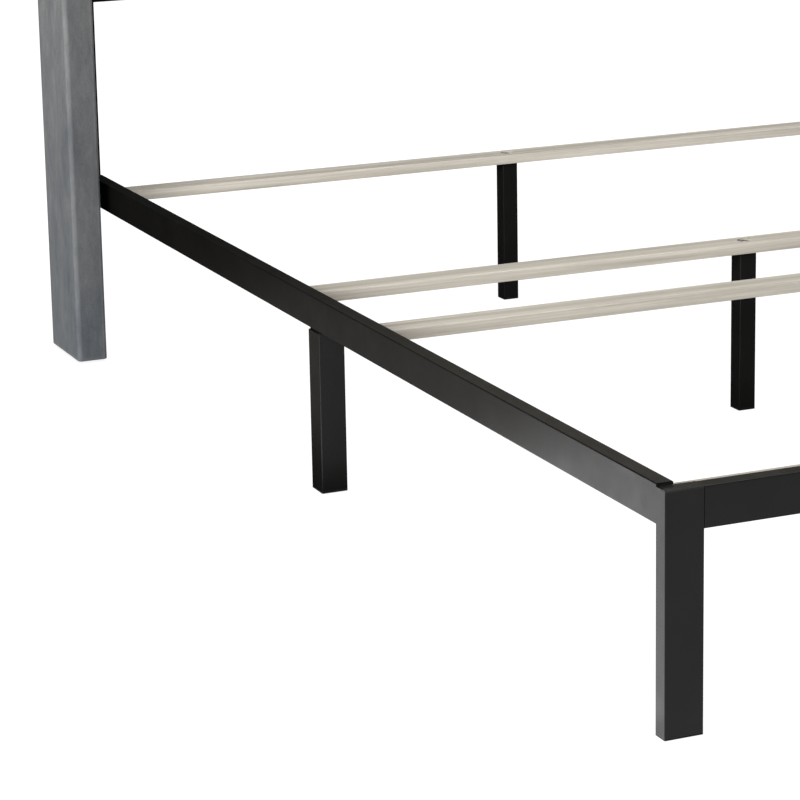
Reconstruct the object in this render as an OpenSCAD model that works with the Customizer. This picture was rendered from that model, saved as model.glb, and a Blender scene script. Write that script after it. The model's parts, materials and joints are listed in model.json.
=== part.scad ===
// Queen bed: a black tubular steel frame with wooden cross slats and centre
// legs, bolted to an upholstered headboard with two wings that reach the floor.
// The bed lies along Y: the foot end is at -Y and the headboard at +Y.
// The origin is on the floor, under the middle of the whole bed.

/* [Overall] */
// Outer width of the steel frame
frame_w = 1580; // [1500:5:1700]
// Length from the face of the foot rail to the back of the headboard
total_l = 2120; // [2080:5:2200]
// Height of the top of the side rails
rail_top = 299; // [280:1:340]
// Height of the headboard and its wings
headboard_h = 1180; // [1000:10:1300]

/* [Steel frame] */
// Height of a side rail's tube
side_rail_h = 48; // [45:1:55]
// Height of the foot rail's tube
foot_rail_h = 50; // [45:1:55]
// Thickness of the side rails, the foot rail and the corner legs
tube_t = 22; // [22:1:28]
// Wall of every steel tube
wall = 1.5; // [1.2:0.1:2]
// How far a side rail stands above the corner leg
rail_step = 4; // [0:0.5:6]
// Width of a corner leg, seen from the foot
corner_leg_w = 50; // [45:1:60]
// Side of a square middle leg
mid_leg_w = 40; // [35:1:45]
// How far a middle leg stands in from the rail's outer face
mid_leg_inset = 13; // [10:1:18]
// Middle leg's distance from the foot
mid_leg_from_foot = 1088; // [1070:1:1100]
// Height of the narrow neck between a middle leg and its bracket
mid_neck_h = 9; // [6:1:12]
// Side of a square centre leg
centre_leg_w = 29; // [25:1:32]
// Thickness of pressed brackets and welded plates
plate_t = 3; // [2.5:0.5:4]

/* [Slats] */
// Width of a slat
slat_w = 48; // [45:1:52]
// Thickness of a slat
slat_t = 17; // [15:1:20]
// Depth of the slats' tops below the rail's top
slat_drop = 26; // [24:1:28]
// Distance from the foot to the middle of the set of slats
slat_middle = 1071; // [1069:1:1075]
// Distance between the two middle slats
slat_pair_gap = 266; // [240:1:300]
// Distance between the foot slat and the head slat
slat_span = 2005; // [1995:1:2007]

/* [Headboard] */
// Width of a wing, seen from the foot
wing_w = 53; // [50:1:60]
// Depth of a wing
wing_d = 156; // [130:1:180]
// Gap between a wing and the steel frame
wing_gap = 22; // [20:1:24]
// Height of the underside of the padded panel
panel_bottom = 604; // [500:1:620]
// Distance from the back of the headboard to the face of its pad
panel_d = 60; // [55:1:70]
// Foam and cloth around a wing's core
wing_padding = 9; // [8:0.5:12]
// Radius of a wing's upright edges
wing_edge_r = 10; // [6:1:12]

/* [Hidden] */
$fn = 48;

steel_black = [0.11, 0.11, 0.11];
plastic_black = [0.05, 0.05, 0.05];
zinc = [0.75, 0.75, 0.72];
pale_wood = [0.74, 0.70, 0.64];
plain_wood = [0.78, 0.64, 0.45];
painted_black = [0.07, 0.07, 0.07];
grey_cloth = [0.44, 0.45, 0.46];
cover_black = [0.07, 0.07, 0.07];

// Main planes
x_rail = -frame_w / 2;
x_rail_in = x_rail + tube_t;
y_foot = -total_l / 2;
y_head = total_l / 2;
y_leg_back = y_foot + tube_t;
z_leg_top = rail_top - rail_step;
z_rail_bottom = rail_top - side_rail_h;
z_slat_top = rail_top - slat_drop;
z_slat_bottom = z_slat_top - slat_t;

// Tubes and caps
tube_r = 1.5;
cap_t = 3;
top_cap_t = 2;
cap_plug = 12;
end_plug_l = 5;

// Bolts of the steel frame, with their nuts welded inside the tubes
bolt_r = 3;
bolt_hole_r = 3.3;
bolt_head_r = 6.6;
bolt_head_h = 4;
nut_r = 5.8;
nut_h = 6;
thread_past_nut = 1;
socket_depth = 0.6;
socket_r = 0.45;

// Big bolts of the centre legs, the headboard and the wings
big_bolt_r = 4;
big_hole_r = 4.3;
big_head_r = 8;
big_nut_r = 7.5;
big_nut_h = 6.5;

// Slats and what holds them
slat_end_gap = 4;
slat_edge_r = 2;
slat_ys = [
    y_foot + slat_middle - slat_span / 2,
    y_foot + slat_middle - slat_pair_gap / 2,
    y_foot + slat_middle + slat_pair_gap / 2,
    y_foot + slat_middle + slat_span / 2
];
slat_screw_x = x_rail_in + 23;
screw_r = 2.2;
screw_hole_r = 2.8;
screw_head_r = 4.5;
screw_head_h = 2.5;
screw_l = 12;
bracket_l = 45;
bracket_w = 40;
flange_top = z_slat_top - 2;
counterbore_r = 11;
counterbore_h = 5;

// Corner gusset: a corner plate with two upright flanges
gusset_l = 95;
gusset_nose = 30;
flange_bolt_z = (z_slat_bottom + flange_top) / 2;
gusset_side_ys = [y_leg_back + 14, y_leg_back + gusset_l - 10];
gusset_foot_xs = [x_rail + 38, x_rail + 75, x_rail + 100];

// Middle leg and its bracket
mid_leg_x = x_rail + mid_leg_inset + mid_leg_w / 2;
mid_leg_y = y_foot + mid_leg_from_foot;
mid_leg_top = z_rail_bottom - plate_t - mid_neck_h;
mid_neck_w = 22;
mid_collar_w = mid_leg_w - 4;
mid_collar_clear = 0.2;
mid_plate_inset = 1;
mid_plate_w = mid_leg_w - 2 * mid_plate_inset;
mid_bracket_l = 90;
mid_bolt_spread = 66;
mid_bolt_z = (z_rail_bottom + flange_top) / 2;

// Headboard
strut_t = 20;
strut_w = 42;
strut_bottom = 188;
strut_relief = 6;
dust_cover_t = 2;
y_strut_back = y_head - dust_cover_t;
y_strut = y_strut_back - strut_t;
x_strut = x_rail - wing_gap;
board_t = 9;
y_board = y_strut - board_t;
y_pad = y_head - panel_d;
pad_over_top = 10;
side_clear = 0.5;
board_top = headboard_h - pad_over_top;
rail_board_h = 60;
rail_board_clear = 6;
top_rail_z = board_top - 2 - rail_board_h;
bottom_rail_z = panel_bottom + rail_board_clear;

// Plate at the head end of a side rail and its bolts
end_plate_bottom = 192;
end_plate_w = 32;
end_plate_inset = 1;
y_rail_end = y_strut - plate_t;
x_rail_middle = x_rail + tube_t / 2;
x_end_bolt = x_strut + strut_w / 2;
end_bolt_zs = [208, 234];
tee_r = 5;
tee_flange_r = 9;
tee_flange_t = 1.5;
tee_l = 13;

// Wings
x_wing = x_strut - wing_w;
wing_back_cloth = 3;
core_w = wing_w - 2 * wing_padding;
core_d = wing_d - wing_padding - wing_back_cloth;
x_core = x_wing + wing_padding;
y_wing = y_head - wing_d;
y_core = y_wing + wing_padding;
wing_bottom = 3;
wing_bolt_zs = [350, 720, 1050];
wing_bolt_y = y_strut + strut_t / 2;
wing_bolt_recess = 5;
recess_r = 9.5;
insert_r = 6;
insert_l = 16;
glide_r = 12;
glide_pin_r = 1.5;
glide_pin_l = 12;
glide_inset = 30;

// ---------------------------------------------------------------- helpers

// Copy of the left side's children on the right side
module right_side() {
    mirror([1, 0, 0]) children();
}

// Left side's children on both sides
module both_sides() {
    children();
    right_side() children();
}

// Flat rectangle with round corners, about the origin; its back corners may be square
module rounded(a, b, r, square_back = false) {
    square([a - 2 * r, b], center = true);
    square([a, b - 2 * r], center = true);
    for (sx = [-1, 1], sy = [-1, 1]) {
        translate([sx * (a / 2 - r), sy * (b / 2 - r)]) circle(r);
    }
    if (square_back) translate([-a / 2, 0]) square([a, b / 2]);
}

// Rectangular steel tube along Z, about the origin
module tube(a, b, l, square_back = false) {
    linear_extrude(l) {
        difference() {
            rounded(a, b, tube_r, square_back);
            square([a - 2 * wall, b - 2 * wall], center = true);
        }
    }
}

// Cap or foot for a tube of size a by b: a flange below z = 0 and a plug above
module tube_cap(a, b, flange_t, square_back = false) {
    translate([0, 0, -flange_t]) linear_extrude(flange_t) rounded(a, b, tube_r, square_back);
    linear_extrude(cap_plug) square([a - 2 * wall, b - 2 * wall], center = true);
}

// Turn a shape made along Z so that it points along +X or +Y
module along_x() {
    rotate([0, 90, 0]) children();
}

module along_y() {
    rotate([-90, 0, 0]) children();
}

// Button-head bolt: head below z = 0, shank above
module bolt(r, head_r, l) {
    cylinder(r = r, h = l);
    difference() {
        translate([0, 0, -bolt_head_h]) {
            cylinder(r1 = head_r * 0.6, r2 = head_r, h = bolt_head_h * 0.6);
            translate([0, 0, bolt_head_h * 0.6]) cylinder(r = head_r, h = bolt_head_h * 0.4);
        }
        translate([0, 0, -bolt_head_h - 1]) {
            cylinder(r = head_r * socket_r, h = 1 + bolt_head_h * socket_depth, $fn = 6);
        }
    }
}

// Hexagon nut standing on z = 0
module nut(r, bore_r, h) {
    difference() {
        cylinder(r = r, h = h, $fn = 6);
        translate([0, 0, -1]) cylinder(r = bore_r, h = h + 2);
    }
}

// Children at every gusset and middle leg bolt of the left side.
// Z points from the bolt's head towards its nut, and z = 0 is the tube's face.
module at_frame_bolts() {
    for (y = gusset_side_ys) {
        translate([x_rail_in, y, flange_bolt_z]) rotate([0, -90, 0]) children();
    }
    for (x = gusset_foot_xs) {
        translate([x, y_leg_back, flange_bolt_z]) rotate([90, 0, 0]) children();
    }
    for (s = [-1, 1]) {
        translate([x_rail_in, mid_leg_y + s * mid_bolt_spread / 2, mid_bolt_z]) {
            rotate([0, -90, 0]) children();
        }
    }
}

// Clearance holes for those bolts, through the flange and the tube's wall
module frame_bolt_holes() {
    at_frame_bolts() translate([0, 0, -plate_t - 1]) {
        cylinder(r = bolt_hole_r, h = plate_t + wall + 2);
    }
}

// ------------------------------------------------------------ steel frame

module side_rail() {
    l = y_rail_end - y_leg_back;
    color(steel_black) difference() {
        translate([x_rail_middle, y_leg_back, rail_top - side_rail_h / 2]) {
            along_y() tube(tube_t, side_rail_h, l);
        }
        frame_bolt_holes();
    }
}

module foot_rail() {
    l = frame_w - 2 * corner_leg_w;
    color(steel_black) difference() {
        translate([-l / 2, y_foot + tube_t / 2, z_leg_top - foot_rail_h / 2]) {
            along_x() tube(foot_rail_h, tube_t, l);
        }
        both_sides() frame_bolt_holes();
    }
}

// Its back corners are square, so that it runs flush into the side rail
module corner_leg() {
    color(steel_black) difference() {
        translate([x_rail + corner_leg_w / 2, y_foot + tube_t / 2, cap_t]) {
            tube(corner_leg_w, tube_t, z_leg_top - top_cap_t - cap_t, square_back = true);
        }
        frame_bolt_holes();
    }
}

// A plate is welded flush into its top
module mid_leg() {
    color(steel_black) translate([mid_leg_x, mid_leg_y, cap_t]) {
        tube(mid_leg_w, mid_leg_w, mid_leg_top - cap_t);
        translate([0, 0, mid_leg_top - cap_t - plate_t]) {
            linear_extrude(plate_t) rounded(mid_leg_w, mid_leg_w, tube_r);
        }
    }
}

module mid_leg_bracket() {
    color(steel_black) difference() {
        union() {
            translate([mid_leg_x, mid_leg_y, mid_leg_top]) {
                tube(mid_neck_w, mid_neck_w, mid_neck_h);
            }
            translate([mid_leg_x, mid_leg_y, z_rail_bottom - plate_t / 2]) {
                cube([mid_plate_w, mid_plate_w, plate_t], center = true);
            }
            translate([x_rail_in, mid_leg_y - mid_bracket_l / 2, z_rail_bottom]) {
                cube([plate_t, mid_bracket_l, flange_top - z_rail_bottom]);
            }
        }
        frame_bolt_holes();
    }
}

// Plastic collars round the necks of both middle legs
module mid_leg_collars() {
    bore_w = mid_neck_w + 2 * mid_collar_clear;
    color(plastic_black) both_sides() translate([mid_leg_x, mid_leg_y, mid_leg_top]) {
        linear_extrude(mid_neck_h) difference() {
            rounded(mid_collar_w, mid_collar_w, tube_r);
            square(bore_w, center = true);
        }
    }
}

module corner_gusset() {
    far = gusset_l;
    nose = gusset_nose;
    flange_h = flange_top - z_slat_bottom + plate_t;
    color(steel_black) difference() {
        translate([x_rail_in, y_leg_back, z_slat_bottom - plate_t]) {
            linear_extrude(plate_t) {
                polygon([[0, 0], [far, 0], [far, nose], [nose, far], [0, far]]);
            }
            cube([plate_t, far, flange_h]);
            cube([far, plate_t, flange_h]);
        }
        frame_bolt_holes();
        slat_screw_hole(slat_ys[0], screw_hole_r);
    }
}

// Upright hole for the screw at the left end of a slat
module slat_screw_hole(y, r) {
    translate([slat_screw_x, y, z_slat_bottom - plate_t - 1]) {
        cylinder(r = r, h = plate_t + 1 + screw_l);
    }
}

module slat_brackets() {
    color(steel_black) for (i = [1:3]) {
        difference() {
            translate([x_rail_in, slat_ys[i] - bracket_w / 2, z_slat_bottom - plate_t]) {
                cube([bracket_l, bracket_w, plate_t]);
                cube([plate_t, bracket_w, flange_top - z_slat_bottom + plate_t]);
            }
            slat_screw_hole(slat_ys[i], screw_hole_r);
        }
    }
}

// Plate welded to the rail's end, wider on the side of the wing for its bolts
module rail_end_plate() {
    top = rail_top - end_plate_inset;
    color(steel_black) difference() {
        union() {
            translate([x_end_bolt - end_plate_w / 2, y_rail_end, end_plate_bottom]) {
                cube([end_plate_w, plate_t, top - end_plate_bottom]);
            }
            translate([x_rail + end_plate_inset, y_rail_end, z_rail_bottom + end_plate_inset]) {
                cube([tube_t - 2 * end_plate_inset, plate_t, top - z_rail_bottom - end_plate_inset]);
            }
        }
        at_end_bolts() translate([0, 0, -1]) cylinder(r = big_hole_r, h = plate_t + 2);
    }
}

// Children at the two bolts of the left end plate; Z points to the headboard
module at_end_bolts() {
    for (z = end_bolt_zs) {
        translate([x_end_bolt, y_rail_end, z]) along_y() children();
    }
}

module centre_leg(i) {
    color(steel_black) translate([0, slat_ys[i - 1], cap_t]) {
        tube(centre_leg_w, centre_leg_w, z_slat_bottom - plate_t - cap_t);
    }
}

module centre_leg_top_plates() {
    color(steel_black) for (y = slat_ys) {
        translate([0, y, z_slat_bottom - plate_t]) difference() {
            linear_extrude(plate_t) rounded(centre_leg_w, centre_leg_w, tube_r);
            translate([0, 0, -1]) cylinder(r = big_hole_r, h = plate_t + 2);
        }
    }
}

// ------------------------------------------------------------------ slats

module slat(i) {
    l = frame_w - 2 * (tube_t + slat_end_gap);
    y = slat_ys[i - 1];
    color(pale_wood) difference() {
        translate([-l / 2, y, z_slat_bottom + slat_t / 2]) {
            along_x() linear_extrude(l) rounded(slat_t, slat_w, slat_edge_r);
        }
        both_sides() slat_screw_hole(y, screw_r);
        translate([0, y, z_slat_bottom - 1]) cylinder(r = big_hole_r, h = slat_t + 2);
        translate([0, y, z_slat_top - counterbore_h]) {
            cylinder(r = counterbore_r, h = counterbore_h + 1);
        }
    }
}

// --------------------------------------------------------- caps and plugs

module corner_foot_caps() {
    color(plastic_black) both_sides() {
        translate([x_rail + corner_leg_w / 2, y_foot + tube_t / 2, cap_t]) {
            tube_cap(corner_leg_w, tube_t, cap_t, square_back = true);
        }
    }
}

module corner_top_caps() {
    color(plastic_black) both_sides() {
        translate([x_rail + corner_leg_w / 2, y_foot + tube_t / 2, z_leg_top - top_cap_t]) {
            mirror([0, 0, 1]) tube_cap(corner_leg_w, tube_t, top_cap_t, square_back = true);
        }
    }
}

module mid_foot_caps() {
    color(plastic_black) both_sides() {
        translate([mid_leg_x, mid_leg_y, cap_t]) tube_cap(mid_leg_w, mid_leg_w, cap_t);
    }
}

module centre_foot_caps() {
    color(plastic_black) for (y = slat_ys) {
        translate([0, y, cap_t]) tube_cap(centre_leg_w, centre_leg_w, cap_t);
    }
}

module rail_end_plugs() {
    color(plastic_black) both_sides() {
        translate([x_rail + wall, y_leg_back, z_rail_bottom + wall]) {
            cube([tube_t - 2 * wall, end_plug_l, side_rail_h - 2 * wall]);
        }
    }
}

// -------------------------------------------------------------- fasteners

module frame_bolts() {
    color(plastic_black) both_sides() at_frame_bolts() {
        translate([0, 0, -plate_t]) {
            bolt(bolt_r, bolt_head_r, plate_t + wall + nut_h + thread_past_nut);
        }
    }
}

module weld_nuts() {
    color(zinc) both_sides() at_frame_bolts() {
        translate([0, 0, wall]) nut(nut_r, bolt_r, nut_h);
    }
}

module slat_screws() {
    color(zinc) both_sides() for (y = slat_ys) {
        translate([slat_screw_x, y, z_slat_bottom - plate_t]) {
            translate([0, 0, -screw_head_h]) cylinder(r = screw_head_r, h = screw_head_h);
            cylinder(r = screw_r, h = plate_t + screw_l);
        }
    }
}

module centre_leg_bolts() {
    l = slat_t - counterbore_h + plate_t + big_nut_h + thread_past_nut;
    color(zinc) for (y = slat_ys) {
        translate([0, y, z_slat_top - counterbore_h]) {
            rotate([180, 0, 0]) bolt(big_bolt_r, big_head_r, l);
        }
    }
}

module centre_leg_nuts() {
    color(zinc) for (y = slat_ys) {
        translate([0, y, z_slat_bottom - plate_t - big_nut_h]) {
            nut(big_nut_r, big_bolt_r, big_nut_h);
        }
    }
}

module headboard_bolts() {
    color(plastic_black) both_sides() at_end_bolts() {
        bolt(big_bolt_r, big_head_r, plate_t + strut_t - thread_past_nut);
    }
}

module tee_nuts() {
    color(zinc) both_sides() at_end_bolts() {
        translate([0, 0, plate_t + strut_t]) difference() {
            union() {
                translate([0, 0, -tee_l]) cylinder(r = tee_r, h = tee_l);
                translate([0, 0, -tee_flange_t]) cylinder(r = tee_flange_r, h = tee_flange_t);
            }
            translate([0, 0, -tee_l - 1]) cylinder(r = big_bolt_r, h = tee_l + 2);
        }
    }
}

// Children at every wing bolt of the left side; Z points into the wing
module at_wing_bolts() {
    for (z = wing_bolt_zs) {
        translate([x_strut + strut_w, wing_bolt_y, z]) rotate([0, -90, 0]) children();
    }
}

module wing_bolts() {
    l = strut_w + wing_padding + insert_l - wing_bolt_recess;
    color(plastic_black) both_sides() at_wing_bolts() {
        translate([0, 0, wing_bolt_recess]) bolt(big_bolt_r, big_head_r, l);
    }
}

module wing_inserts() {
    color(zinc) both_sides() at_wing_bolts() {
        translate([0, 0, strut_w + wing_padding]) difference() {
            cylinder(r = insert_r, h = insert_l);
            translate([0, 0, -1]) cylinder(r = big_bolt_r, h = insert_l + 2);
        }
    }
}

// -------------------------------------------------------------- headboard

// Its foot, behind the end of the side rail, is a little narrower
module headboard_strut() {
    color(painted_black) difference() {
        translate([x_strut, y_strut, strut_bottom]) {
            cube([strut_w, strut_t, board_top - 2 - strut_bottom]);
        }
        translate([x_strut + strut_w - strut_relief, y_strut - 1, strut_bottom - 1]) {
            cube([strut_relief + 1, strut_t + 2, rail_top - strut_bottom]);
        }
        at_end_bolts() {
            cylinder(r = big_hole_r, h = plate_t + strut_t);
            translate([0, 0, plate_t + strut_t - tee_l]) cylinder(r = tee_r, h = tee_l + 1);
            translate([0, 0, plate_t + strut_t - tee_flange_t]) {
                cylinder(r = tee_flange_r, h = tee_flange_t + 1);
            }
        }
        at_wing_bolts() translate([0, 0, -1]) {
            cylinder(r = big_hole_r, h = strut_w + 2);
            cylinder(r = recess_r, h = wing_bolt_recess + 1);
        }
    }
}

// Horizontal board between the struts, with its lower edge at height z
module cross_board(z) {
    x = x_strut + strut_w;
    color(plain_wood) translate([x, y_strut, z]) cube([-2 * x, strut_t, rail_board_h]);
}

module headboard_top_rail() {
    cross_board(top_rail_z);
}

module headboard_bottom_rail() {
    cross_board(bottom_rail_z);
}

module headboard_board() {
    x = x_strut + side_clear;
    color(plain_wood) translate([x, y_board, panel_bottom + dust_cover_t]) {
        cube([-2 * x, board_t, board_top - panel_bottom - dust_cover_t]);
    }
}

module headboard_pad() {
    x = x_strut + side_clear;
    color(grey_cloth) {
        translate([x, y_pad, panel_bottom + dust_cover_t]) {
            cube([-2 * x, y_board - y_pad, headboard_h - panel_bottom - dust_cover_t]);
        }
        translate([x, y_pad, board_top]) cube([-2 * x, y_strut_back - y_pad, pad_over_top]);
    }
}

// Thin black cloth over the back and the underside of the panel
module headboard_dust_cover() {
    x = x_strut + side_clear;
    x_between = x_strut + strut_w + side_clear;
    color(cover_black) {
        translate([x, y_strut_back, panel_bottom]) {
            cube([-2 * x, dust_cover_t, headboard_h - panel_bottom]);
        }
        translate([x_between, y_pad, panel_bottom]) {
            cube([-2 * x_between, y_strut_back - y_pad, dust_cover_t]);
        }
        translate([x, y_pad, panel_bottom]) {
            cube([-2 * x, y_strut - side_clear - y_pad, dust_cover_t]);
        }
    }
}

module wing_core() {
    color(plain_wood) difference() {
        translate([x_core, y_core, wing_bottom]) {
            cube([core_w, core_d, headboard_h - wing_padding - wing_bottom]);
        }
        at_wing_bolts() translate([0, 0, strut_w]) {
            cylinder(r = insert_r, h = wing_padding + insert_l);
        }
        at_glides() cylinder(r = glide_pin_r, h = wing_bottom + glide_pin_l);
    }
}

module wing_cover() {
    color(grey_cloth) difference() {
        translate([x_wing + wing_w / 2, y_wing + wing_d / 2, wing_bottom]) {
            linear_extrude(headboard_h - wing_bottom) rounded(wing_w, wing_d, wing_edge_r);
        }
        translate([x_core, y_core, wing_bottom - 1]) {
            cube([core_w, core_d, headboard_h - wing_padding - wing_bottom + 1]);
        }
        at_wing_bolts() translate([0, 0, strut_w - 1]) {
            cylinder(r = insert_r, h = wing_padding + 2);
        }
    }
}

// Children under the left wing, at the floor
module at_glides() {
    for (y = [y_wing + glide_inset, y_head - glide_inset]) {
        translate([x_wing + wing_w / 2, y, 0]) children();
    }
}

module wing_glides() {
    color(plastic_black) both_sides() at_glides() {
        cylinder(r = glide_r, h = wing_bottom);
        cylinder(r = glide_pin_r, h = wing_bottom + glide_pin_l);
    }
}

// ------------------------------------------------------------- every node

side_rail();  // side_rail_left
right_side() side_rail();  // side_rail_right
foot_rail();
corner_leg();  // corner_leg_left
right_side() corner_leg();  // corner_leg_right
mid_leg();  // mid_leg_left
right_side() mid_leg();  // mid_leg_right
mid_leg_bracket();  // mid_leg_bracket_left
right_side() mid_leg_bracket();  // mid_leg_bracket_right
mid_leg_collars();
corner_gusset();  // corner_gusset_left
right_side() corner_gusset();  // corner_gusset_right
slat_brackets();  // slat_brackets_left
right_side() slat_brackets();  // slat_brackets_right
rail_end_plate();  // rail_end_plate_left
right_side() rail_end_plate();  // rail_end_plate_right
for (i = [1:4]) {
    centre_leg(i);
    slat(i);
}
centre_leg_top_plates();
corner_foot_caps();
corner_top_caps();
mid_foot_caps();
centre_foot_caps();
rail_end_plugs();
frame_bolts();
weld_nuts();
slat_screws();
centre_leg_bolts();
centre_leg_nuts();
headboard_bolts();
tee_nuts();
headboard_strut();  // headboard_strut_left
right_side() headboard_strut();  // headboard_strut_right
headboard_top_rail();
headboard_bottom_rail();
headboard_board();
headboard_pad();
headboard_dust_cover();
wing_core();  // wing_core_left
right_side() wing_core();  // wing_core_right
wing_cover();  // wing_cover_left
right_side() wing_cover();  // wing_cover_right
wing_bolts();
wing_inserts();
wing_glides();
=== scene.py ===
"""Looks of the queen bed: a black steel frame, pale slats and an upholstered headboard with wings.

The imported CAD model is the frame. Steel, slats and fasteners keep their CAD shapes and get
procedural materials. Everything upholstered is rebuilt here in the space its CAD solid holds.
"""

import json
import math
import random

import bmesh
import bpy
import numpy as np
from mathutils import Matrix, Vector

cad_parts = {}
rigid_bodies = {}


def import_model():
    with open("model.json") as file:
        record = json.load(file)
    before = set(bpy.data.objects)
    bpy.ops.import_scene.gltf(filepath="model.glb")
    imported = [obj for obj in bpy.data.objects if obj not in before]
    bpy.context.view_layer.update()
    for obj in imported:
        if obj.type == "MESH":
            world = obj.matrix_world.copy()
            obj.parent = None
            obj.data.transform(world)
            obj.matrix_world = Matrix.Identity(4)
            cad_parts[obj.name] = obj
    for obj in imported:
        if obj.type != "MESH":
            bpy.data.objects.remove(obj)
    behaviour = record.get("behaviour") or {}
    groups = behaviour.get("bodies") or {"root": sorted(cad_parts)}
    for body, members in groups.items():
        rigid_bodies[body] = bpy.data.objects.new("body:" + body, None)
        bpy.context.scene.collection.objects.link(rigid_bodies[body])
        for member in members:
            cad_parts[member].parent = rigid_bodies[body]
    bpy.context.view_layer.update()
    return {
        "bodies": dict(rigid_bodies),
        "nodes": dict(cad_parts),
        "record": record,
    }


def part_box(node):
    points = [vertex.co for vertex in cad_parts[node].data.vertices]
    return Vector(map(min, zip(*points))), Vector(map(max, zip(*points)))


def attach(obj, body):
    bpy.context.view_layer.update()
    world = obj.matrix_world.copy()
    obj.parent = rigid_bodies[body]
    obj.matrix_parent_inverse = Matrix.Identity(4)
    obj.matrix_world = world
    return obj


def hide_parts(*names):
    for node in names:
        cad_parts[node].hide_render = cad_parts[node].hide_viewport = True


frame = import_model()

NODES = frame["nodes"]
SCENE = bpy.context.scene
BODY = next(iter(frame["bodies"]))
MM = 0.001


# ------------------------------------------------------------------ node trees

def new_material(name):
    """An empty node material, its tree and its Principled shader."""
    mat = bpy.data.materials.new(name)
    mat.use_nodes = True
    tree = mat.node_tree
    tree.nodes.clear()
    out = tree.nodes.new("ShaderNodeOutputMaterial")
    shader = tree.nodes.new("ShaderNodeBsdfPrincipled")
    tree.links.new(shader.outputs[0], out.inputs["Surface"])
    return mat, tree, shader


def coords(tree, scale=(1, 1, 1)):
    """The object's own coordinates in metres, stretched by scale."""
    where = tree.nodes.new("ShaderNodeTexCoord")
    stretch = tree.nodes.new("ShaderNodeMapping")
    stretch.inputs["Scale"].default_value = scale
    tree.links.new(where.outputs["Object"], stretch.inputs["Vector"])
    return stretch.outputs["Vector"]


def noise(tree, scale, detail=4.0, rough=0.55, stretch=(1, 1, 1), warp=0.0):
    """Noise from 0 to 1, with scale features per metre."""
    node = tree.nodes.new("ShaderNodeTexNoise")
    node.inputs["Scale"].default_value = scale
    node.inputs["Distortion"].default_value = warp
    node.inputs["Detail"].default_value = detail
    node.inputs["Roughness"].default_value = rough
    tree.links.new(coords(tree, stretch), node.inputs["Vector"])
    return node.outputs["Fac"]


def ramp(tree, value, stops):
    """A colour ramp on value; stops are (place, colour)."""
    node = tree.nodes.new("ShaderNodeValToRGB")
    bar = node.color_ramp
    while len(bar.elements) < len(stops):
        bar.elements.new(0.5)
    for element, (place, colour) in zip(bar.elements, stops):
        element.position = place
        element.color = (*colour, 1)
    tree.links.new(value, node.inputs["Fac"])
    return node.outputs["Color"]


def spread(tree, value, low, high, start=0.3, end=0.7):
    """value's range start..end mapped to low..high."""
    node = tree.nodes.new("ShaderNodeMapRange")
    node.inputs["From Min"].default_value = start
    node.inputs["From Max"].default_value = end
    node.inputs["To Min"].default_value = low
    node.inputs["To Max"].default_value = high
    tree.links.new(value, node.inputs["Value"])
    return node.outputs["Result"]


def times(tree, colour, value):
    """colour darkened or lightened by a value near 1."""
    node = tree.nodes.new("ShaderNodeVectorMath")
    node.operation = "SCALE"
    tree.links.new(colour, node.inputs[0])
    tree.links.new(value, node.inputs["Scale"])
    return node.outputs["Vector"]


def upward(tree, space):
    """Z of a texture space: height in metres for Object, a direction's rise for the world's Generated."""
    where = tree.nodes.new("ShaderNodeTexCoord")
    parts = tree.nodes.new("ShaderNodeSeparateXYZ")
    tree.links.new(where.outputs[space], parts.inputs["Vector"])
    return parts.outputs["Z"]


def tint_by_height(tree, colour, stops):
    """colour multiplied by a ramp of (height in metres, tint) stops."""
    node = tree.nodes.new("ShaderNodeVectorMath")
    node.operation = "MULTIPLY"
    tree.links.new(colour, node.inputs[0])
    tree.links.new(ramp(tree, upward(tree, "Object"), stops), node.inputs[1])
    return node.outputs["Vector"]


def bump(tree, shader, layers):
    """Bump on the shader from layers of (height, strength, distance in metres)."""
    below = None
    for height, strength, distance in layers:
        node = tree.nodes.new("ShaderNodeBump")
        node.inputs["Strength"].default_value = strength
        node.inputs["Distance"].default_value = distance
        tree.links.new(height, node.inputs["Height"])
        if below is not None:
            tree.links.new(below, node.inputs["Normal"])
        below = node.outputs["Normal"]
    tree.links.new(below, shader.inputs["Normal"])


# ------------------------------------------------------------------- materials

def powder_coat():
    """Satin black powder coat: nearly black, with a faint cloudiness and a fine orange peel."""
    mat, tree, shader = new_material("powder_coat")
    cloudy = [(0.3, (0.0034, 0.0032, 0.0030)), (0.7, (0.0054, 0.0051, 0.0048))]
    tree.links.new(ramp(tree, noise(tree, 9, 5), cloudy), shader.inputs["Base Color"])
    tree.links.new(spread(tree, noise(tree, 26, 6), 0.31, 0.40), shader.inputs["Roughness"])
    shader.inputs["Specular IOR Level"].default_value = 0.32
    bump(tree, shader, [(noise(tree, 420, 2), 0.22, 0.0002), (noise(tree, 1500, 1), 0.15, 0.00005)])
    return mat


def moulded_plastic():
    """Matt black plastic of the caps, plugs and collars."""
    mat, tree, shader = new_material("moulded_plastic")
    colour = ramp(tree, noise(tree, 30, 4), [(0.3, (0.005, 0.005, 0.005)), (0.7, (0.009, 0.009, 0.0085))])
    tree.links.new(colour, shader.inputs["Base Color"])
    tree.links.new(spread(tree, noise(tree, 90, 3), 0.34, 0.44), shader.inputs["Roughness"])
    shader.inputs["Specular IOR Level"].default_value = 0.4
    bump(tree, shader, [(noise(tree, 2200, 2), 0.3, 0.00008)])
    return mat


def bare_metal(name, light, dark, rough):
    """Plated or oxidised steel of the fasteners, with faint stains and tool marks."""
    mat, tree, shader = new_material(name)
    colour = ramp(tree, noise(tree, 140, 5), [(0.3, dark), (0.7, light)])
    tree.links.new(colour, shader.inputs["Base Color"])
    tree.links.new(spread(tree, noise(tree, 500, 4), rough - 0.08, rough + 0.1), shader.inputs["Roughness"])
    shader.inputs["Metallic"].default_value = 1.0
    bump(tree, shader, [(noise(tree, 1800, 2, stretch=(1, 1, 0.2)), 0.2, 0.00006)])
    return mat


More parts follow.
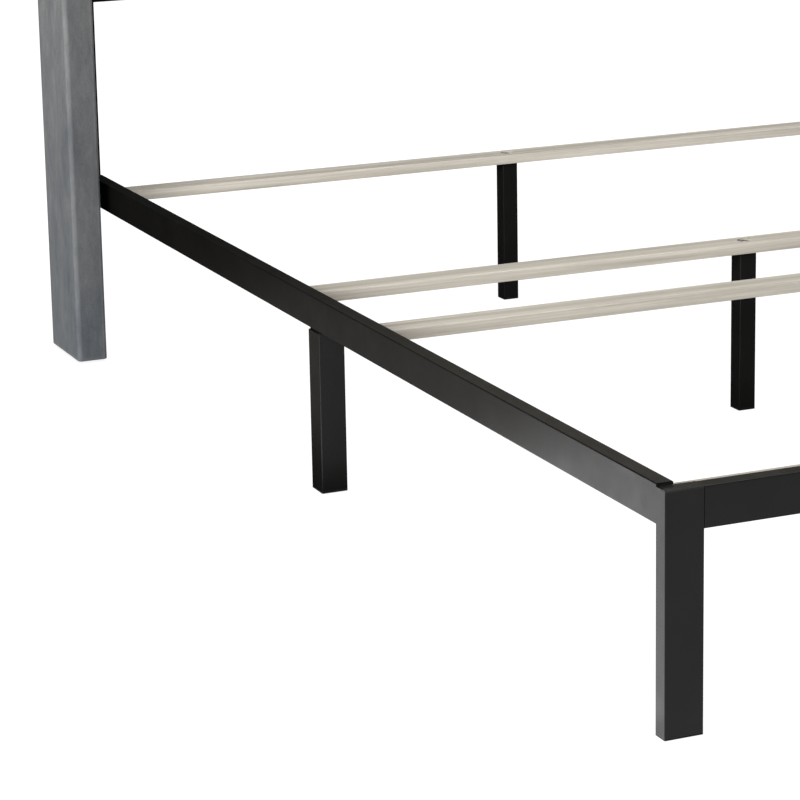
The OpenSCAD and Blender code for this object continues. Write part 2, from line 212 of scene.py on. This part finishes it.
def planed_wood(name, dark, mid, light, line):
    """Planed wood with its grain along X: broad streaks, fine lines of contrast line, and short pores."""
    mat, tree, shader = new_material(name)
    streaks = noise(tree, 1.0, 5, 0.6, (1.1, 55, 70))
    colour = ramp(tree, streaks, [(0.26, dark), (0.5, mid), (0.74, light)])
    fine = noise(tree, 1.0, 4, 0.7, (5, 420, 520))
    pores = spread(tree, noise(tree, 1.0, 2, 0.5, (34, 900, 900)), 1.0, 0.8, 0.62, 0.78)
    blotch = spread(tree, noise(tree, 3.2, 3), 0.95, 1.04)
    for shade in (spread(tree, fine, 1 - line, 1 + line), pores, blotch):
        colour = times(tree, colour, shade)
    tree.links.new(colour, shader.inputs["Base Color"])
    tree.links.new(spread(tree, streaks, 0.5, 0.66), shader.inputs["Roughness"])
    shader.inputs["Specular IOR Level"].default_value = 0.25
    bump(tree, shader, [(fine, 0.3, 0.0002), (pores, 0.25, 0.0001)])
    return mat


def black_paint():
    """Thin matt black paint on wood, with the grain of the upright board showing through."""
    mat, tree, shader = new_material("black_paint")
    grain = noise(tree, 1.0, 5, 0.65, (300, 300, 6))
    colour = ramp(tree, grain, [(0.3, (0.004, 0.004, 0.004)), (0.7, (0.009, 0.0085, 0.008))])
    tree.links.new(colour, shader.inputs["Base Color"])
    tree.links.new(spread(tree, noise(tree, 40, 4), 0.55, 0.7), shader.inputs["Roughness"])
    shader.inputs["Specular IOR Level"].default_value = 0.3
    bump(tree, shader, [(grain, 0.4, 0.0003)])
    return mat


VELVET_SHADES = [(0.3, (0.070, 0.0735, 0.078)), (0.5, (0.089, 0.090, 0.091)), (0.7, (0.105, 0.104, 0.102))]
# Painted shade: the velvet's colour is made darker and cooler towards the floor, standing in for light that
# falls off lower down.
VELVET_PAINTED_SHADE = [(0.05, (0.76, 0.80, 0.84)), (0.45, (0.92, 0.935, 0.95)), (0.95, (1.05, 1.04, 1.035))]
# Pointiness from flat to bent over an edge, across which the painted edge highlight grows.
FLAT_POINTINESS, EDGE_POINTINESS = 0.502, 0.509


def velvet(name, edge_highlight_gain):
    """Short grey pile, mottled, with painted shade that makes it cooler and darker lower down, and a
    painted highlight that makes its edges up to the given gain times as light.
    """
    mat, tree, shader = new_material(name)
    strokes = noise(tree, 1.0, 6, 0.6, (22, 22, 9), 0.5)
    colour = ramp(tree, strokes, VELVET_SHADES)
    flecks = spread(tree, noise(tree, 1.0, 3, 0.55, (95, 95, 30), 0.8), 0.89, 1.09)
    patches = spread(tree, noise(tree, 1.0, 2, 0.5, (5, 5, 2.6), 0.6), 0.93, 1.06)
    pile = spread(tree, noise(tree, 620, 3), 0.88, 1.12)
    # Painted highlight: pointiness lightens the pile where it bends over an edge.
    bend = tree.nodes.new("ShaderNodeNewGeometry").outputs["Pointiness"]
    edges = spread(tree, bend, 1.0, edge_highlight_gain, FLAT_POINTINESS, EDGE_POINTINESS)
    for shade in (flecks, patches, pile, edges):
        colour = times(tree, colour, shade)
    # Painted shade by height: darker and cooler lower down.
    tree.links.new(tint_by_height(tree, colour, VELVET_PAINTED_SHADE), shader.inputs["Base Color"])
    tree.links.new(spread(tree, strokes, 0.85, 0.97), shader.inputs["Roughness"])
    shader.inputs["Specular IOR Level"].default_value = 0.12
    shader.inputs["Sheen Weight"].default_value = 0.05
    shader.inputs["Sheen Roughness"].default_value = 0.4
    shader.inputs["Sheen Tint"].default_value = (0.88, 0.92, 0.97, 1)
    ripple = noise(tree, 1.0, 4, 0.5, (60, 60, 24))
    bump(tree, shader, [(ripple, 0.22, 0.0006), (noise(tree, 900, 3), 0.45, 0.00025)])
    return mat


def nonwoven():
    """Black non-woven dust cloth with its pressed dots."""
    mat, tree, shader = new_material("nonwoven")
    colour = ramp(tree, noise(tree, 240, 4), [(0.3, (0.008, 0.008, 0.009)), (0.7, (0.019, 0.019, 0.020))])
    tree.links.new(colour, shader.inputs["Base Color"])
    tree.links.new(spread(tree, noise(tree, 60, 3), 0.8, 0.95), shader.inputs["Roughness"])
    shader.inputs["Specular IOR Level"].default_value = 0.2
    dots = tree.nodes.new("ShaderNodeTexVoronoi")
    dots.inputs["Scale"].default_value = 380
    dots.inputs["Randomness"].default_value = 0.15
    tree.links.new(coords(tree), dots.inputs["Vector"])
    bump(tree, shader, [(dots.outputs["Distance"], 0.4, 0.0003)])
    return mat


STEEL = powder_coat()
PLASTIC = moulded_plastic()
ZINC = bare_metal("zinc_plate", (0.62, 0.62, 0.60), (0.46, 0.46, 0.45), 0.34)
BLACK_OXIDE = bare_metal("black_oxide", (0.055, 0.054, 0.053), (0.03, 0.03, 0.03), 0.42)
SLAT_WOOD = planed_wood("slat_wood", (0.29, 0.258, 0.218), (0.41, 0.376, 0.324), (0.52, 0.486, 0.428), 0.16)
INNER_WOOD = planed_wood("inner_wood", (0.36, 0.23, 0.12), (0.52, 0.37, 0.21), (0.64, 0.48, 0.30), 0.14)
BLACK_WOOD = black_paint()
# The wings' velvet carries the painted edge highlight; the panel's velvet has none.
WING_VELVET_PAINTED_HIGHLIGHT = velvet("wing_velvet_painted_highlight", 1.3)
PANEL_VELVET = velvet("panel_velvet", 1.0)
NONWOVEN = nonwoven()

MATERIAL_OF_SLOT = {
    "steel_frame": STEEL,
    "black_plastic": PLASTIC,
    "black_bolts": BLACK_OXIDE,
    "zinc_steel": ZINC,
    "slat_wood": SLAT_WOOD,
    "inner_wood": INNER_WOOD,
    "black_wood": BLACK_WOOD,
    "grey_velvet": WING_VELVET_PAINTED_HIGHLIGHT,
    "dust_cover": NONWOVEN,
}


def dress_cad_nodes():
    """Gives every CAD node the material of its slot in the record."""
    for row in frame["record"]["subparts"]:
        obj = NODES[row["node"]]
        obj.data.materials.clear()
        obj.data.materials.append(MATERIAL_OF_SLOT[row["material_slot"]])


# --------------------------------------------------------------- mesh helpers

def add_object(name, bm):
    """Links a new object that holds the bmesh."""
    bmesh.ops.recalc_face_normals(bm, faces=bm.faces)
    mesh = bpy.data.meshes.new(name)
    bm.to_mesh(mesh)
    bm.free()
    obj = bpy.data.objects.new(name, mesh)
    SCENE.collection.objects.link(obj)
    return obj


def skin(name, rings, round_rings=True, caps=True):
    """A mesh over rings of equally many points, closed round each ring and capped if asked."""
    bm = bmesh.new()
    rows = [[bm.verts.new(p) for p in ring] for ring in rings]
    count = len(rows[0])
    for low, high in zip(rows, rows[1:]):
        for i in range(count if round_rings else count - 1):
            j = (i + 1) % count
            bm.faces.new((low[i], low[j], high[j], high[i]))
    if caps:
        ends = [bm.faces.new(rows[0]), bm.faces.new(rows[-1])]
        bmesh.ops.triangulate(bm, faces=ends)
    return add_object(name, bm)


def finish_piece(obj, material, replaced=()):
    """Material, slot, body and smooth shading of a piece made here."""
    obj.data.materials.clear()
    obj.data.materials.append(material)
    obj.data.polygons.foreach_set("use_smooth", [True] * len(obj.data.polygons))
    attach(obj, BODY)
    if replaced:
        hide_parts(*replaced)


def apply_modifiers(obj):
    """Replaces obj's mesh by what its modifiers make of it."""
    graph = bpy.context.evaluated_depsgraph_get()
    mesh = bpy.data.meshes.new_from_object(obj.evaluated_get(graph), depsgraph=graph)
    obj.modifiers.clear()
    old, obj.data = obj.data, mesh
    bpy.data.meshes.remove(old)


def subdivide(obj):
    """One smooth subdivision, applied."""
    mod = obj.modifiers.new("smooth", "SUBSURF")
    mod.levels = 1
    apply_modifiers(obj)


def points_of(obj):
    """obj's vertices as an array of rows."""
    flat = np.empty(len(obj.data.vertices) * 3)
    obj.data.vertices.foreach_get("co", flat)
    return flat.reshape(-1, 3)


def set_points(obj, points):
    """Moves obj's vertices to the rows of points."""
    obj.data.vertices.foreach_set("co", points.astype(np.float32).ravel())
    obj.data.update()


def normals_of(obj):
    """obj's vertex normals as an array of rows."""
    flat = np.empty(len(obj.data.vertices) * 3)
    obj.data.vertex_normals.foreach_get("vector", flat)
    return flat.reshape(-1, 3)


CLOTH_FRAMES = 20


def pin(obj, held):
    """A vertex group that holds each point as firmly as held says, from 0 to 1."""
    group = obj.vertex_groups.new(name="held")
    weights = np.round(held, 1)
    for weight in np.unique(weights):
        group.add(np.nonzero(weights == weight)[0].tolist(), float(weight), "REPLACE")


def blow_up(obj, pressure):
    """Runs the cloth under pressure, without gravity, and keeps the shape it takes."""
    cloth = obj.modifiers.new("cloth", "CLOTH")
    settings = cloth.settings
    settings.quality = 5
    settings.mass = 0.3
    settings.tension_stiffness = 20
    settings.compression_stiffness = 20
    settings.bending_stiffness = 0.5
    settings.vertex_group_mass = "held"
    settings.use_pressure = True
    settings.uniform_pressure_force = pressure
    settings.effector_weights.gravity = 0
    cloth.collision_settings.use_collision = False
    cloth.point_cache.frame_start = 1
    cloth.point_cache.frame_end = CLOTH_FRAMES
    for number in range(1, CLOTH_FRAMES + 1):
        SCENE.frame_set(number)
    apply_modifiers(obj)
    obj.vertex_groups.clear()
    SCENE.frame_set(1)


def inflate(obj, held, cap, pressure):
    """Swells obj like stuffed cloth. Points with held = 1 stay, and none moves more than cap."""
    before = points_of(obj)
    pin(obj, held)
    blow_up(obj, pressure)
    step = points_of(obj) - before
    length = np.maximum(np.linalg.norm(step, axis=1), 1e-9)
    set_points(obj, before + step * (cap * np.tanh(length / cap) / length)[:, None])


def arc(centre, r, start, end, steps):
    """Points of an arc about centre in a plane; angles in degrees."""
    return [(centre[0] + r * math.cos(math.radians(start + (end - start) * i / steps)),
             centre[1] + r * math.sin(math.radians(start + (end - start) * i / steps)))
            for i in range(steps + 1)]


def fill_in(points, pitch, closed=True):
    """The outline with extra points, so that none are more than pitch apart."""
    full = []
    pairs = zip(points, points[1:] + points[:1]) if closed else zip(points, points[1:])
    for (ax, ay), (bx, by) in pairs:
        count = max(1, math.ceil(math.hypot(bx - ax, by - ay) / pitch))
        full += [(ax + (bx - ax) * i / count, ay + (by - ay) * i / count) for i in range(count)]
    return full if closed else full + [points[-1]]


# ------------------------------------------------------------------ upholstery

WING_CORNER_R = 7 * MM
WING_FOLD_R = 2 * MM
WING_INSET = 0.5 * MM
WING_SWELL = 1.2 * MM
WING_CORNER_STEPS = 6
WING_PITCH = 9 * MM
WING_LEVEL_PITCH = 12 * MM
WING_FIRM_END = 15 * MM
WING_CORNER_HOLD = 0.8


def wing_ring(centre, half, inset, z):
    """One level of a wing's skin: a rectangle with round corners, at height z."""
    r = max(WING_CORNER_R - inset, 1 * MM)
    a, b = half.x - inset - r, half.y - inset - r
    corners = []
    for turn, (sx, sy) in enumerate([(1, 1), (-1, 1), (-1, -1), (1, -1)]):
        corners.append(arc((sx * a, sy * b), r, 90 * turn, 90 * turn + 90, WING_CORNER_STEPS))
    ring = []
    for corner, following in zip(corners, corners[1:] + corners[:1]):
        (x0, y0), (x1, y1) = corner[-1], following[0]
        full_length = 2 * (half.x if abs(y0 - y1) < 1e-9 else half.y)
        cells = max(2, round(full_length / WING_PITCH))
        ring += corner + [(x0 + (x1 - x0) * i / cells, y0 + (y1 - y0) * i / cells) for i in range(1, cells)]
    return [(centre.x + x, centre.y + y, z) for x, y in ring]


def wing_levels(low, top):
    """(inset, height) of every ring: in under the foot, up the sides, and in over the top."""
    r = WING_FOLD_R
    levels = [(inset, low) for inset in (14 * MM, 8 * MM)]
    levels += [(r - x, low + r + y) for x, y in arc((0, 0), r, -90, 0, 3)]
    side = fill_in([(0, low + r), (0, top - r)], WING_LEVEL_PITCH, closed=False)
    levels += [(0, z) for _, z in side[1:-1]]
    levels += [(r - x, top - r + y) for x, y in arc((0, 0), r, 0, 90, 3)]
    return levels + [(inset, top) for inset in (8 * MM, 14 * MM, 20 * MM)]


def make_wing():
    """The left wing's velvet: crisp foam edges, nearly flat faces, folded under at the floor."""
    lo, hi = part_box("wing_cover_left")
    half = (hi - lo) / 2 - Vector((WING_INSET, WING_INSET, 0))
    centre = (lo + hi) / 2
    top = hi.z - WING_INSET
    rings = [wing_ring(centre, half, inset, z) for inset, z in wing_levels(lo.z, top)]
    wing = skin("wing_left", rings)
    p = points_of(wing)
    across = np.abs(np.abs(p[:, 0] - centre.x) - half.x)
    along = np.abs(np.abs(p[:, 1] - centre.y) - half.y)
    on_corner = (across < WING_CORNER_R) & (along < WING_CORNER_R)
    near_end = np.clip(1 - np.minimum(p[:, 2] - lo.z, top - p[:, 2]) / WING_FIRM_END, 0, 1)
    held = np.maximum(near_end, np.where(on_corner, WING_CORNER_HOLD, 0.0))
    inflate(wing, held, WING_SWELL, 3.0)
    subdivide(wing)
    return wing


def mirrored(obj, name):
    """A copy of obj on the other side of the bed."""
    other = obj.copy()
    other.data = obj.data.copy()
    other.name = name
    SCENE.collection.objects.link(other)
    other.data.transform(Matrix.Diagonal((-1, 1, 1, 1)))
    other.data.flip_normals()
    return other


def make_wings():
    """Both wings, upholstered alike."""
    left = make_wing()
    right = mirrored(left, "wing_right")
    for obj, node in ((left, "wing_cover_left"), (right, "wing_cover_right")):
        finish_piece(obj, WING_VELVET_PAINTED_HIGHLIGHT, [node])


CHANNELS = 8
SEAM_DEPTH = 15 * MM
SEAM_WIDTH = 22 * MM
PANEL_SWELL = 7 * MM
PANEL_SWELL_ABOVE = 2 * MM
PANEL_END_GAP = 0.5 * MM
PANEL_LEDGE_GAP = 0.5 * MM
PANEL_PITCH = 13 * MM
BESIDE_SEAM = [0, 2.5 * MM, 6 * MM, 11 * MM, 18 * MM, 28 * MM, 41 * MM, 57 * MM, 76 * MM]
SOFT_TOP = 30 * MM
SEAM_HOLD = 3 * MM
GATHER_HEIGHT = 0.45 * MM
GATHER_REACH = 7 * MM


def panel_section():
    """The panel's outline in the YZ plane, from its lower back round the front to its top back."""
    lo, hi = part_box("headboard_pad")
    board_lo, board_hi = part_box("headboard_board")
    front, back = lo.y + PANEL_SWELL, board_lo.y
    ledge = board_hi.z + PANEL_LEDGE_GAP
    top = hi.z - PANEL_SWELL_ABOVE
    r_low, r_top, r_back = 12 * MM, 14 * MM, 2 * MM
    outline = [(back, lo.z)]
    outline += arc((front + r_low, lo.z + r_low), r_low, -90, -180, 5)
    outline += arc((front + r_top, top - r_top), r_top, 180, 90, 6)
    outline += arc((hi.y - r_back, top - r_back), r_back, 90, 0, 2)
    outline += [(hi.y, ledge), (back, ledge)]
    return outline, front, back, top


def channel_columns(x_from, pitch):
    """Places along X: close together beside each seam and wider apart between them."""
    columns = []
    for i in range(CHANNELS):
        start = x_from + i * pitch
        columns += [start + d for d in BESIDE_SEAM] + [start + pitch / 2]
        columns += [start + pitch - d for d in reversed(BESIDE_SEAM[1:])]
    return columns + [x_from + CHANNELS * pitch]


def to_nearest_seam(x, x_from, pitch):
    """How far each place along X lies from the nearest seam."""
    return np.abs((x - x_from + pitch / 2) % pitch - pitch / 2)


def make_panel():
    """The headboard's padded panel, sewn into upright channels."""
    lo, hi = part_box("headboard_pad")
    outline, front, back, top = panel_section()
    section = fill_in(outline, PANEL_PITCH)
    x_from, x_to = lo.x + PANEL_END_GAP, hi.x - PANEL_END_GAP
    pitch = (x_to - x_from) / CHANNELS
    rings = [[(x, y, z) for y, z in section] for x in channel_columns(x_from, pitch)]
    panel = skin("headboard_panel", rings)
    p = points_of(panel)
    to_seam = to_nearest_seam(p[:, 0], x_from, pitch)
    at_end = np.minimum(p[:, 0] - x_from, x_to - p[:, 0])
    soft_front = np.clip((back - p[:, 1]) / (back - front), 0, 1)
    soft_top = np.clip((p[:, 2] - top + SOFT_TOP) / SOFT_TOP, 0, 1)
    dip = SEAM_DEPTH * np.exp(-to_seam / SEAM_WIDTH)
    p[:, 1] += dip * soft_front
    p[:, 2] -= dip * 0.25 * soft_top
    set_points(panel, p)
    firm = (to_seam < SEAM_HOLD) | (np.maximum(soft_front, soft_top) < 0.5) | (at_end < 1 * MM)
    inflate(panel, np.where(firm, 1.0, 0.0), PANEL_SWELL, 5.0)
    subdivide(panel)
    pucker(panel, x_from, pitch)
    finish_piece(panel, PANEL_VELVET, ["headboard_pad"])


def pucker(panel, x_from, pitch):
    """Small gathers that run out of the panel's seams."""
    p = points_of(panel)
    to_seam = to_nearest_seam(p[:, 0], x_from, pitch)
    number = np.round((p[:, 0] - x_from) / pitch)
    coarse = np.sin(p[:, 2] / (4.1 * MM) + 2.3 * number)
    fine = np.sin(p[:, 2] / (2.7 * MM) + number)
    reach = np.exp(-((to_seam - GATHER_REACH) / GATHER_REACH) ** 2)
    height = GATHER_HEIGHT * (coarse + 0.6 * fine) * reach
    set_points(panel, p + normals_of(panel) * height[:, None])


# ------------------------------------------------------------------ dust cover

STAPLE_PITCH = 85 * MM
STAPLE_EDGE = 14 * MM
STAPLE_ROWS = 6
STAPLE_HALF = 5 * MM
STAPLE_LEG = 2.2 * MM
STAPLE_R = 0.45 * MM
COVER_COLUMNS = 150
COVER_PITCH = 11 * MM
COVER_FOLD_R = 3 * MM
COVER_THICKNESS = 0.5 * MM
COVER_SLACK = 3.2 * MM
COVER_FADE = 60 * MM
COVER_GATHER = 0.35 * MM
GATHER_DEPTH = 35 * MM


def slack_of(x, z):
    """0 to 1: how free the cover is to sag, which it is only between the struts and the cross boards."""
    strut_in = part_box("headboard_strut_left")[1].x
    low_rail_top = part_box("headboard_bottom_rail")[1].z
    top_rail_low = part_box("headboard_top_rail")[0].z
    free = np.clip((-strut_in - np.abs(x)) / COVER_FADE, 0, 1)
    free *= np.clip((z - low_rail_top) / COVER_FADE, 0, 1) * np.clip((top_rail_low - z) / COVER_FADE, 0, 1)
    return free * free * (3 - 2 * free)


def loosen(cover, half, z_cloth, z_top):
    """Lets the cover's back sag in between its supports and gather at the staples."""
    p = points_of(cover)
    x, z = p[:, 0], p[:, 2]
    waves = 1 + 0.35 * np.sin(3.1 * x + 1.0) + 0.3 * np.sin(7.7 * x - 5 * z) + 0.25 * np.sin(9 * z + 2 * x)
    on_back = z > z_cloth + 1.5 * COVER_FOLD_R
    rim = np.minimum(half - np.abs(x), np.minimum(z - z_cloth, z_top - z))
    gather = np.cos(x * 2 * math.pi / STAPLE_PITCH) * np.exp(-rim / GATHER_DEPTH)
    p[:, 1] -= np.where(on_back, COVER_SLACK * slack_of(x, z) * waves, 0)
    p[:, 1] += np.where(on_back, COVER_GATHER * (gather - 1), 0)
    set_points(cover, p)


def thicken(obj, thickness):
    """Gives a single layer its thickness, half on each side."""
    mod = obj.modifiers.new("thickness", "SOLIDIFY")
    mod.thickness = thickness
    mod.offset = 0
    apply_modifiers(obj)


def make_dust_cover():
    """Black cloth stapled over the panel's back and folded under it, with slack between staples."""
    lo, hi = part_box("headboard_dust_cover")
    y_cloth, z_cloth, r = hi.y - 1.0 * MM, lo.z + 0.9 * MM, COVER_FOLD_R
    half = hi.x - 1.5 * MM
    path = [(lo.y + 1.5 * MM, z_cloth)]
    path += arc((y_cloth - r, z_cloth + r), r, -90, 0, 4)
    path += [(y_cloth, hi.z - 4 * MM)]
    path = fill_in(path, COVER_PITCH, closed=False)
    columns = np.linspace(-half, half, COVER_COLUMNS)
    cover = skin("dust_cover", [[(x, y, z) for y, z in path] for x in columns], False, False)
    loosen(cover, half, z_cloth, hi.z)
    subdivide(cover)
    thicken(cover, COVER_THICKNESS)
    finish_piece(cover, NONWOVEN, ["headboard_dust_cover"])
    return half, y_cloth, z_cloth


def tube(bm, path, r, sides=6):
    """Adds a thin tube with closed ends along a path of points to bm."""
    rings = []
    for i, point in enumerate(path):
        ahead = (path[min(i + 1, len(path) - 1)] - path[max(i - 1, 0)]).normalized()
        across = ahead.orthogonal().normalized()
        upright = ahead.cross(across)
        angles = [2 * math.pi * k / sides for k in range(sides)]
        rings.append([bm.verts.new(point + r * (math.cos(a) * across + math.sin(a) * upright))
                      for a in angles])
    for low, high in zip(rings, rings[1:]):
        for k in range(sides):
            m = (k + 1) % sides
            bm.faces.new((low[k], low[m], high[m], high[k]))
    bm.faces.new(rings[0])
    bm.faces.new(rings[-1])


def staple_places(half, z_cloth, top):
    """(x, z) of the staples: along the cover's top and bottom, then down its sides."""
    z_low, z_high = z_cloth + 22 * MM, top - 16 * MM
    places = []
    count = round(2 * half / STAPLE_PITCH)
    for i in range(count + 1):
        x = (i / count - 0.5) * 2 * (half - STAPLE_EDGE)
        places += [(x, z_high), (x, z_low)]
    for i in range(1, STAPLE_ROWS):
        z = z_low + (z_high - z_low) * i / STAPLE_ROWS
        places += [(STAPLE_EDGE - half, z), (half - STAPLE_EDGE, z)]
    return places


def make_staples(half, y_cloth, z_cloth):
    """Staples round the dust cover, a little uneven as a hand leaves them."""
    rng = random.Random(7)
    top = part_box("headboard_dust_cover")[1].z
    inward = Vector((0, -STAPLE_LEG, 0))
    bm = bmesh.new()
    for x, z in staple_places(half, z_cloth, top):
        centre = Vector((x + rng.uniform(-4, 4) * MM, y_cloth + 0.5 * MM, z + rng.uniform(-2, 2) * MM))
        tilt = rng.uniform(-0.3, 0.3)
        arm = Vector((math.cos(tilt), 0, math.sin(tilt))) * STAPLE_HALF
        path = [-arm + inward, -arm + inward * 0.3, arm * -0.9, arm * 0.9, arm + inward * 0.3, arm + inward]
        tube(bm, [centre + step for step in path], STAPLE_R)
    finish_piece(add_object("staples", bm), ZINC)


# ---------------------------------------------------------------------- stage

CAMERA_AT = Vector((-2.309, -3.869, 1.266))
CAMERA_HEADING = math.radians(23.18)
CAMERA_DOWN = math.radians(13.29)
CAMERA_ROLL = math.radians(-1.06)


def make_camera():
    """A long lens at the foot's left, a little above the bed, looking down at it."""
    data = bpy.data.cameras.new("camera")
    data.sensor_width = 36
    data.lens = 134.5
    data.shift_y = -0.12
    data.clip_end = 200
    camera = bpy.data.objects.new("camera", data)
    heading = Matrix.Rotation(-CAMERA_HEADING, 4, "Z")
    pitch = Matrix.Rotation(math.pi / 2 - CAMERA_DOWN, 4, "X")
    roll = Matrix.Rotation(CAMERA_ROLL, 4, "Z")
    camera.matrix_world = Matrix.Translation(CAMERA_AT) @ heading @ pitch @ roll
    SCENE.collection.objects.link(camera)
    SCENE.camera = camera


FLOOR_HALF = 60


def make_floor():
    """A wide plain white floor, left out of the reflections."""
    bm = bmesh.new()
    bmesh.ops.create_grid(bm, x_segments=1, y_segments=1, size=FLOOR_HALF)
    floor = add_object("floor", bm)
    mat, tree, shader = new_material("floor_white")
    shader.inputs["Base Color"].default_value = (0.2, 0.2, 0.2, 1)
    shader.inputs["Roughness"].default_value = 0.9
    shader.inputs["Specular IOR Level"].default_value = 0.0
    shader.inputs["Emission Color"].default_value = (1, 1, 1, 1)
    shader.inputs["Emission Strength"].default_value = 0.88
    floor.data.materials.append(mat)
    floor.visible_glossy = False
    return floor


def area_light(name, place, aim, size, power, colour=(1, 1, 1), only=(), shine=True):
    """A soft rectangular light at place, facing aim; it lights only the given objects if any."""
    data = bpy.data.lights.new(name, "AREA")
    data.shape = "RECTANGLE"
    data.size, data.size_y = size
    data.energy = power
    data.color = colour
    light = bpy.data.objects.new(name, data)
    light.location = place
    light.rotation_euler = (Vector(aim) - Vector(place)).to_track_quat("-Z", "Y").to_euler()
    light.visible_camera = False
    light.visible_glossy = shine
    SCENE.collection.objects.link(light)
    if only:
        group = bpy.data.collections.new(name + "_lights")
        for obj in only:
            group.objects.link(obj)
        light.light_linking.receiver_collection = group


def background(tree, strength):
    """A white background of a given strength."""
    node = tree.nodes.new("ShaderNodeBackground")
    node.inputs["Color"].default_value = (1, 1, 1, 1)
    node.inputs["Strength"].default_value = strength
    return node


def either(tree, choice, first, second):
    """The first shader where choice is 0 and the second where it is 1."""
    node = tree.nodes.new("ShaderNodeMixShader")
    tree.links.new(choice, node.inputs["Fac"])
    tree.links.new(first.outputs[0], node.inputs[1])
    tree.links.new(second.outputs[0], node.inputs[2])
    return node


def make_world():
    """White where the camera looks, a soft grey room for light, and reflections bright only high up."""
    world = bpy.data.worlds.new("room")
    SCENE.world = world
    world.use_nodes = True
    tree = world.node_tree
    tree.nodes.clear()
    out = tree.nodes.new("ShaderNodeOutputWorld")
    ray = tree.nodes.new("ShaderNodeLightPath").outputs
    shine = background(tree, 1.0)
    brightness = spread(tree, upward(tree, "Generated"), 0.002, 0.14, 0.3, 0.75)
    tree.links.new(brightness, shine.inputs["Strength"])
    unseen = either(tree, ray["Is Glossy Ray"], background(tree, 0.27), shine)
    whole = either(tree, ray["Is Camera Ray"], unseen, background(tree, 1.1))
    tree.links.new(whole.outputs[0], out.inputs["Surface"])


def objects_with(*materials):
    """The CAD nodes and pieces whose first material is one of materials."""
    return [o for o in SCENE.objects if o.type == "MESH" and o.data.materials
            and o.data.materials[0] in materials]


def floor_light(name, x, y, size, power, steel, colour=(1, 1, 1)):
    """A softbox that lies on the floor and faces up: the steel's reflection of a pale floor."""
    area_light(name, (x, y, 1 * MM), (x, y, 1), size, power, colour, only=steel)


def light_steel():
    """Reflections for the black frame, without the collars, which stay dark gaps as in the photo."""
    steel = [o for o in objects_with(STEEL, PLASTIC) if o is not NODES["mid_leg_collars"]]
    floor_light("beside", -1.25, -0.15, (0.8, 0.3), 2.25, steel)
    floor_light("beside_leg", -1.2, -0.68, (0.9, 0.76), 3.8, steel)
    floor_light("alongside", -1.35, 0.6, (0.9, 1.24), 0.9, steel, (1, 0.92, 0.86))
    floor_light("before", -0.2, -1.885, (2.6, 1.646), 9.2, steel)
    floor_light("between", -0.45, -0.55, (0.9, 0.9), 1.2, steel)
    warm = (1, 0.93, 0.80)
    area_light("beyond", (-0.1, 0.85, 0.95), (-0.6, -1.0, 0.3), (1.4, 0.25), 0.85, warm, only=steel)


def light_cloth(cloth):
    """The velvet's own key, a touch on the wing's upper part, and soft light on the panel and the back."""
    panel = [o for o in cloth if o.name == "headboard_panel"]
    area_light("key_cloth", (-9.8, -4.4, 5.6), (0, 0, 0.4), (5, 5), 2700, only=cloth)
    area_light("crown", (-1.1, -0.6, 1.6), (-0.84, 0.95, 1.0), (0.5, 0.5), 1.0, only=cloth)
    area_light("panel_front", (-0.6, -3.4, 2.4), (0, 1, 0.9), (3, 2), 170, only=panel)
    area_light("cloth_back", (1.5, 6.2, 2.6), (0, 1.06, 0.6), (4, 3), 250, only=cloth)
    for obj in cloth:
        obj.visible_glossy = False


def make_lights(floor):
    """A far key from the front left, a soft top and a fill behind, with lights for one material each."""
    SCENE.view_settings.view_transform = "Standard"
    cloth = objects_with(WING_VELVET_PAINTED_HIGHLIGHT, PANEL_VELVET)
    slats = objects_with(SLAT_WOOD)
    bed = [o for o in SCENE.objects if o.type == "MESH" and o is not floor]
    others = [o for o in bed if o not in cloth and o not in slats]
    area_light("key", (-8.6, -6.6, 5.6), (0, 0, 0.4), (5, 5), 1900, only=others)
    area_light("key_slats", (-10.2, -4.6, 3.9), (0, 0, 0.4), (4, 4), 1750, only=slats)
    area_light("top_slats", (0.3, -0.3, 4.5), (0, 0, 0), (3.5, 3.5), 125, only=slats)
    area_light("top", (0.3, -0.3, 4.5), (0, 0, 0), (3.5, 3.5), 105, only=bed)
    area_light("fill", (4.8, 4.4, 3.0), (0, 0, 0.4), (3, 3), 60, only=bed, shine=False)
    area_light("floor_top", (0, 0, 9), (0, 0, 0), (14, 14), 1500, only=[floor])
    light_cloth(cloth)
    light_steel()


make_camera()
make_world()
dress_cad_nodes()
make_wings()
make_panel()
make_staples(*make_dust_cover())
make_lights(make_floor())
